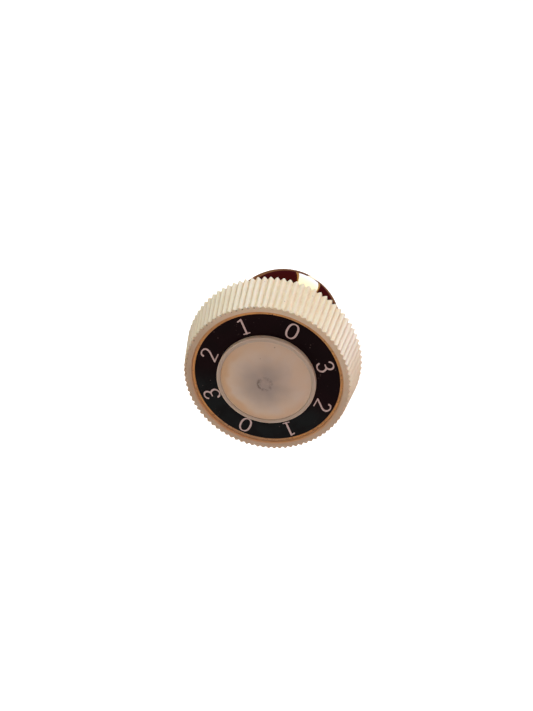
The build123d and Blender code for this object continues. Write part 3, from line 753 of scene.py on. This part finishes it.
def through(points, steps=7):
    """Catmull-Rom curve through points: a cubic from each to the next.

    At each point its slope is that of the line between the two neighbours.
    """
    path = np.array(points, float)
    path = np.vstack([2 * path[0] - path[1], path, 2 * path[-1] - path[-2]])
    t = np.linspace(0, 1, steps, endpoint=False)[None, :, None]
    a, b, c, d = path[:-3, None], path[1:-2, None], path[2:-1, None], path[3:, None]
    cubic = 2 * b + (c - a) * t
    cubic = cubic + (2 * a - 5 * b + 4 * c - d) * t**2 + (3 * b - a - 3 * c + d) * t**3
    return np.vstack([cubic.reshape(-1, 2) / 2, path[-2]])


def oval(width, height, power, steps=64):
    """Closed rounded oval: each coordinate is a cosine or sine to the power 2 / power.

    The sign of the cosine or sine is kept.
    """
    angle = np.linspace(0, 2 * math.pi, steps + 1)
    wave = np.stack([np.cos(angle), np.sin(angle)], -1)
    return np.sign(wave) * np.abs(wave) ** (2 / power) * (width / 2, height / 2)


FIGURE_PATHS = {
    "0": [oval(2.34, 3.78, 2.35)],
    "1": [
        through([(0.0, 1.86), (0.0, 0.6), (0.0, -0.6), (0.0, -1.8)]),
        through([(-0.84, 1.56), (-0.42, 1.7), (0.0, 1.86)]),
        through([(-0.76, -1.8), (0.0, -1.8), (0.72, -1.8)]),
    ],
    "2": [
        through(
            [(-0.98, 1.2), (-0.72, 1.72), (0.04, 1.93), (0.82, 1.62), (1.06, 0.98)]
            + [(0.72, 0.2), (-0.2, -0.78), (-1.12, -1.76)]
        ),
        through([(-1.12, -1.78), (0.0, -1.78), (1.04, -1.78)]),
    ],
    "3": [
        through(
            [(-0.84, 1.34), (-0.52, 1.74), (0.12, 1.93), (0.82, 1.62), (1.04, 1.02)]
            + [(0.78, 0.42), (0.26, 0.14), (-0.44, 0.12)]
        ),
        through(
            [(0.1, 0.13), (0.72, -0.1), (1.1, -0.9), (0.78, -1.62), (0.06, -1.93)]
            + [(-0.72, -1.7), (-1.1, -1.14)]
        ),
    ],
}


def stroke(path, clock, error, layer):
    """Ribbon of ink along a path, in the dial's plane.

    Its edges lie square to the path's direction, at half the stroke's width from it, which is
    STROKE_UPWARD times the nominal width where it runs up the figure and STROKE_ACROSS times where
    it runs across. An open end goes on for half a width more. With e from 0 to 90 degrees it
    reaches sin e of that and keeps cos e of the width, so it is round. The path's own x runs
    clockwise and its y outwards. Each layer of ink lies a little over the one before.
    """
    half = FIGURE_STROKE / 2
    closed = np.allclose(path[0], path[-1])
    ahead = np.roll(path, -1, 0) - path
    behind = path - np.roll(path, 1, 0)
    if closed:
        ahead[-1], behind[0] = ahead[0], behind[-1]
    else:
        ahead[-1], behind[0] = behind[-1], ahead[0]
    ahead /= np.linalg.norm(ahead, axis=1, keepdims=True)
    behind /= np.linalg.norm(behind, axis=1, keepdims=True)
    course = ahead + behind
    course /= np.linalg.norm(course, axis=1, keepdims=True)
    width = half * (STROKE_ACROSS + (STROKE_UPWARD - STROKE_ACROSS) * np.abs(course[:, 1]))
    if not closed:
        ends = np.radians(np.linspace(90, 15, 6))
        start = path[0] - course[0] * width[0] * np.sin(ends)[:, None]
        stop = path[-1] + course[-1] * width[-1] * np.sin(ends[::-1])[:, None]
        path = np.vstack([start, path, stop])
        count = len(ends)
        course = np.vstack([course[:1].repeat(count, 0), course, course[-1:].repeat(count, 0)])
        width = np.concatenate([width[0] * np.cos(ends), width, width[-1] * np.cos(ends[::-1])])
    side = np.stack([-course[:, 1], course[:, 0]], -1) * width[:, None]
    low = dial_front - INK_IN_DIAL
    high = dial_front + INK_THICKNESS + layer * INK_LAYER
    soft = high - INK_EDGE
    edges = [(1, low), (1, soft), (0.93, high), (-0.93, high), (-1, soft), (-1, low)]
    flat = np.stack([path + side * share for share, _ in edges], 1)
    forward = np.broadcast_to(np.array([level for _, level in edges]), flat.shape[:2])
    clockwise = flat[..., 0] + error[0]
    outward = flat[..., 1] + error[1] + FIGURE_RADIUS
    x = outward * math.sin(clock) + clockwise * math.cos(clock)
    z = outward * math.cos(clock) - clockwise * math.sin(clock)
    ribbon = np.stack([x, -forward, z], -1)
    return ribbon if closed else swept(ribbon)


ribbons = []
for number, (figure, error) in enumerate(zip(FIGURES, PRINT_ERRORS)):
    clock = number * 2 * math.pi / len(FIGURES)
    for layer, path in enumerate(FIGURE_PATHS[figure]):
        ribbons.append(stroke(path, clock, error, layer))
piece("dial_figures", ribbons, ink, "knob", crease=60)


# The ball

def arc(radius, start, stop, count):
    """Points of the ball's profile from one forward distance to another, at equal angles."""
    angle = np.linspace(
        math.acos((start - ball_centre) / radius), math.acos((stop - ball_centre) / radius), count
    )
    return list(zip(radius * np.sin(angle), ball_centre + radius * np.cos(angle)))


ball_inner = ball_radius - BALL_WALL
inner_flat = front_flat - BALL_WALL
front_profile = rounded(
    [
        (BUSHING_RADIUS + FIT_GAP, front_flat, 0.1),
        (BUSHING_RADIUS + FIT_GAP, inner_flat, 0),
        *arc(ball_inner, inner_flat, seam, 90),
        (*arc(ball_radius, seam, seam, 1)[0], 0.14),
        *arc(ball_radius, seam + 0.5, front_flat - 0.3, 110),
        (*arc(ball_radius, front_flat, front_flat, 1)[0], 0.35),
    ]
)
piece(
    "ball_front_spun",
    [turned(front_profile, round_angles(256))],
    brass,
    "ball_housing",
    ["ball_front_shell"],
    crease=30,
)

lip_outer = math.sqrt(ball_inner**2 - (ball_centre - seam) ** 2) - FIT_GAP
lip_inner = lip_outer - REAR_LIP_THICKNESS
lip_start = ball_centre - math.sqrt(ball_inner**2 - lip_inner**2)
rear_profile = rounded(
    [
        (MOUNT_TUBE_RADIUS + FIT_GAP, 0, 0.08),
        (*arc(ball_radius, 0, 0, 1)[0], 0.35),
        *arc(ball_radius, 0.3, seam - 0.4, 32),
        (*arc(ball_radius, seam, seam, 1)[0], 0.14),
        (lip_outer, seam, 0),
        (lip_outer, cover_rear - LIP_GAP, 0.1),
        (lip_inner, cover_rear - LIP_GAP, 0.1),
        *arc(ball_inner, lip_start, BALL_WALL, 20),
        (MOUNT_TUBE_RADIUS + FIT_GAP, BALL_WALL, 0),
    ]
)
piece(
    "ball_rear_spun",
    [turned(rear_profile, round_angles(256))],
    brass,
    "ball_housing",
    ["ball_rear_shell"],
    crease=30,
)

def thread(angle, forward):
    """How far the thread is cut outwards, from 0 at a crest to -1 at a root.

    The share of the way round is taken from the forward distance in pitches, and what is left over
    is a triangle wave with flat crests.
    """
    turns = (forward / THREAD_PITCH - angle / (2 * math.pi)) % 1
    return -np.clip(2.6 * (0.5 - np.abs(turns - 0.5)) - 0.15, 0, 1)


bore_forward = np.linspace(mount_front - THREAD_END, mount_rear + THREAD_END, 61)
to_end = np.minimum(bore_forward[0] - bore_forward, bore_forward - bore_forward[-1])
bore_depth = THREAD_DEPTH * np.clip(to_end / THREAD_FADE, 0, 1)
mount_profile = rounded(
    [
        (MOUNT_BORE_RADIUS + 0.35, mount_rear, 0.05),
        (MOUNT_TUBE_RADIUS, mount_rear, 0.15),
        (MOUNT_TUBE_RADIUS, BALL_WALL, 0),
        (flange_radius, BALL_WALL, 0.1),
        (flange_radius, BALL_WALL + MOUNT_FLANGE, 0.25),
        (MOUNT_TUBE_RADIUS, BALL_WALL + MOUNT_FLANGE, 0.1),
        (MOUNT_TUBE_RADIUS, mount_front, 0.2),
        (MOUNT_BORE_RADIUS + 0.3, mount_front, 0.05),
        *[(MOUNT_BORE_RADIUS, s, 0, d) for s, d in zip(bore_forward, bore_depth)],
    ]
)
piece(
    "mounting_bush_threaded",
    [turned(mount_profile, round_angles(128), thread)],
    lathe_brass,
    "ball_housing",
    ["mounting_bush"],
    crease=30,
)


# The camera, where it stood for the photograph: its lens and sensor are in millimetres too
AZIMUTH, ELEVATION, ROLL = (math.radians(angle) for angle in (-4.62, 32.54, 26.756))
CAMERA_PLACE = (-15.3, -196.267, 107.44)
LENS = 42.079
SENSOR_WIDTH = 36
ahead = Vector(
    (
        -math.sin(AZIMUTH) * math.cos(ELEVATION),
        math.cos(AZIMUTH) * math.cos(ELEVATION),
        -math.sin(ELEVATION),
    )
)
level = ahead.cross(Vector((0, 0, 1))).normalized()
upright = level.cross(ahead)
right = level * math.cos(ROLL) + upright * math.sin(ROLL)
up = right.cross(ahead)
camera = bpy.data.objects.new("camera", bpy.data.cameras.new("camera"))
bpy.context.scene.collection.objects.link(camera)
facing = Matrix((right, up, -ahead)).transposed().to_4x4()
camera.matrix_world = Matrix.Translation(Vector(CAMERA_PLACE) * MM) @ facing
camera.data.lens = LENS
camera.data.sensor_width = SENSOR_WIDTH
camera.data.clip_start = 0.01
camera.data.clip_end = 20
bpy.context.scene.camera = camera


# Floor, light and background. Places are in metres and colours of light are linear.
FLOOR = -0.25
FLOOR_REACH = 4
FLOOR_GLOW = 0.85
CORNERS = ((-1, -1), (1, -1), (1, 1), (-1, 1))
FILL_LEFT = (0.37, 0.285, 0.225)
FILL_RIGHT = (0.395, 0.25, 0.25)


def seen_directly(tree):
    """1 for rays from the camera, from a mirror or through glass, and 0 for the rest."""
    camera_ray, _, _, glossy_ray, _, _, transmission_ray, *_ = add(tree, "LightPath")
    seen = add(tree, "Math", camera_ray, glossy_ray, operation="MAXIMUM")
    return add(tree, "Math", seen, transmission_ray, operation="MAXIMUM")


world = bpy.data.worlds.new("studio")
bpy.context.scene.world = world
world.use_nodes = True
sky = world.node_tree
sky.nodes.clear()
side = add(sky, "SeparateXYZ", add(sky, "TexCoord")[0])[0]
side = add(sky, "MapRange", side, -1.0, 1.0)
fill = add(sky, "Mix", side, (*FILL_LEFT, 1), (*FILL_RIGHT, 1), data_type="RGBA")
shade = add(sky, "Mix", seen_directly(sky), fill, (1, 1, 1, 1), data_type="RGBA")
background = add(sky, "Background", shade, 1.0)
add(sky, "OutputWorld", background)


def quad(name, corners, finish):
    """A flat sheet of the studio, given by its four corners in metres."""
    mesh = bpy.data.meshes.new(name)
    mesh.from_pydata(corners, [], [(0, 1, 2, 3)])
    mesh.materials.append(finish)
    made = bpy.data.objects.new(name, mesh)
    bpy.context.scene.collection.objects.link(made)
    return made


floor_finish, floor_tree, floor_shader, _ = start_finish("painted_board_pale", "#E6E0D8", 0.7)
topped = add(floor_tree, "Math", seen_directly(floor_tree), FLOOR_GLOW, operation="MULTIPLY")
glow = add(floor_tree, "Emission", (1, 1, 1, 1), topped)
both = add(floor_tree, "AddShader", floor_shader.outputs[0], glow)
floor_tree.links.new(both, floor_tree.nodes["Material Output"].inputs["Surface"])
floor_corners = [(x * FLOOR_REACH, y * FLOOR_REACH, FLOOR) for x, y in CORNERS]
quad("floor", floor_corners, floor_finish)


def reflected_card(name, corners, emission):
    """A card that only shows in the polished brass, from its corners and its emitted colour."""
    finish = bpy.data.materials.new(name)
    finish.use_nodes = True
    tree = finish.node_tree
    light = add(tree, "Emission", (*emission, 1), 1.0)
    tree.links.new(light, tree.nodes["Material Output"].inputs["Surface"])
    card = quad(name, corners, finish)
    card.visible_camera = False
    card.visible_diffuse = False
    card.visible_transmission = False
    card.visible_volume_scatter = False
    card.visible_shadow = False


reflected_card(
    "room_wall",
    [(-0.95, 1.0, -0.02), (1.0, 1.0, -0.02), (1.0, 1.0, 1.7), (-0.95, 1.0, 1.7)],
    (0.057, 0.0085, 0.022),
)
reflected_card(
    "room_table",
    [(-6, 0.05, -0.24), (6, 0.05, -0.24), (6, 12, -0.24), (-6, 12, -0.24)],
    (0.22, 0.13, 0.1),
)
reflected_card(
    "room_window",
    [(-0.02, 0.98, 0.08), (0.19, 0.98, 0.05), (0.56, 0.98, 1.15), (-0.15, 0.98, 1.35)],
    (1.4, 2.0, 4.2),
)
reflected_card(
    "room_window_frame",
    [(-0.05, 0.99, 0.05), (0.215, 0.99, 0.02), (0.6, 0.99, 1.2), (-0.19, 0.99, 1.4)],
    (0.5, 0.36, 0.24),
)
reflected_card(
    "room_sunlit_sill",
    [(0.06, 0.6, -0.235), (0.11, 0.6, -0.235), (0.14, 0.97, 0.07), (0.07, 0.97, 0.07)],
    (1.2, 1.3, 1.5),
)


def soft_lamp(name, place, target, size, power, colour):
    """A square soft box that faces its target. Places are in metres."""
    data = bpy.data.lights.new(name, "AREA")
    data.shape = "SQUARE"
    data.size = size
    data.energy = power
    data.color = colour
    lamp = bpy.data.objects.new(name, data)
    bpy.context.scene.collection.objects.link(lamp)
    lamp.location = place
    lamp.rotation_euler = (Vector(target) - Vector(place)).to_track_quat("-Z", "Y").to_euler()
    lamp.visible_camera = False
    lamp.visible_glossy = False


soft_lamp("window_light", (-0.17, 0.26, 0.75), (0, -0.02, 0), 0.8, 6.05, (0.75, 0.95, 1.0))
soft_lamp("room_light", (0.42, 0.2, 0.6), (0, -0.02, 0), 0.8, 1.5, (1.0, 0.78, 0.7))

bpy.context.scene.view_settings.view_transform = "Standard"
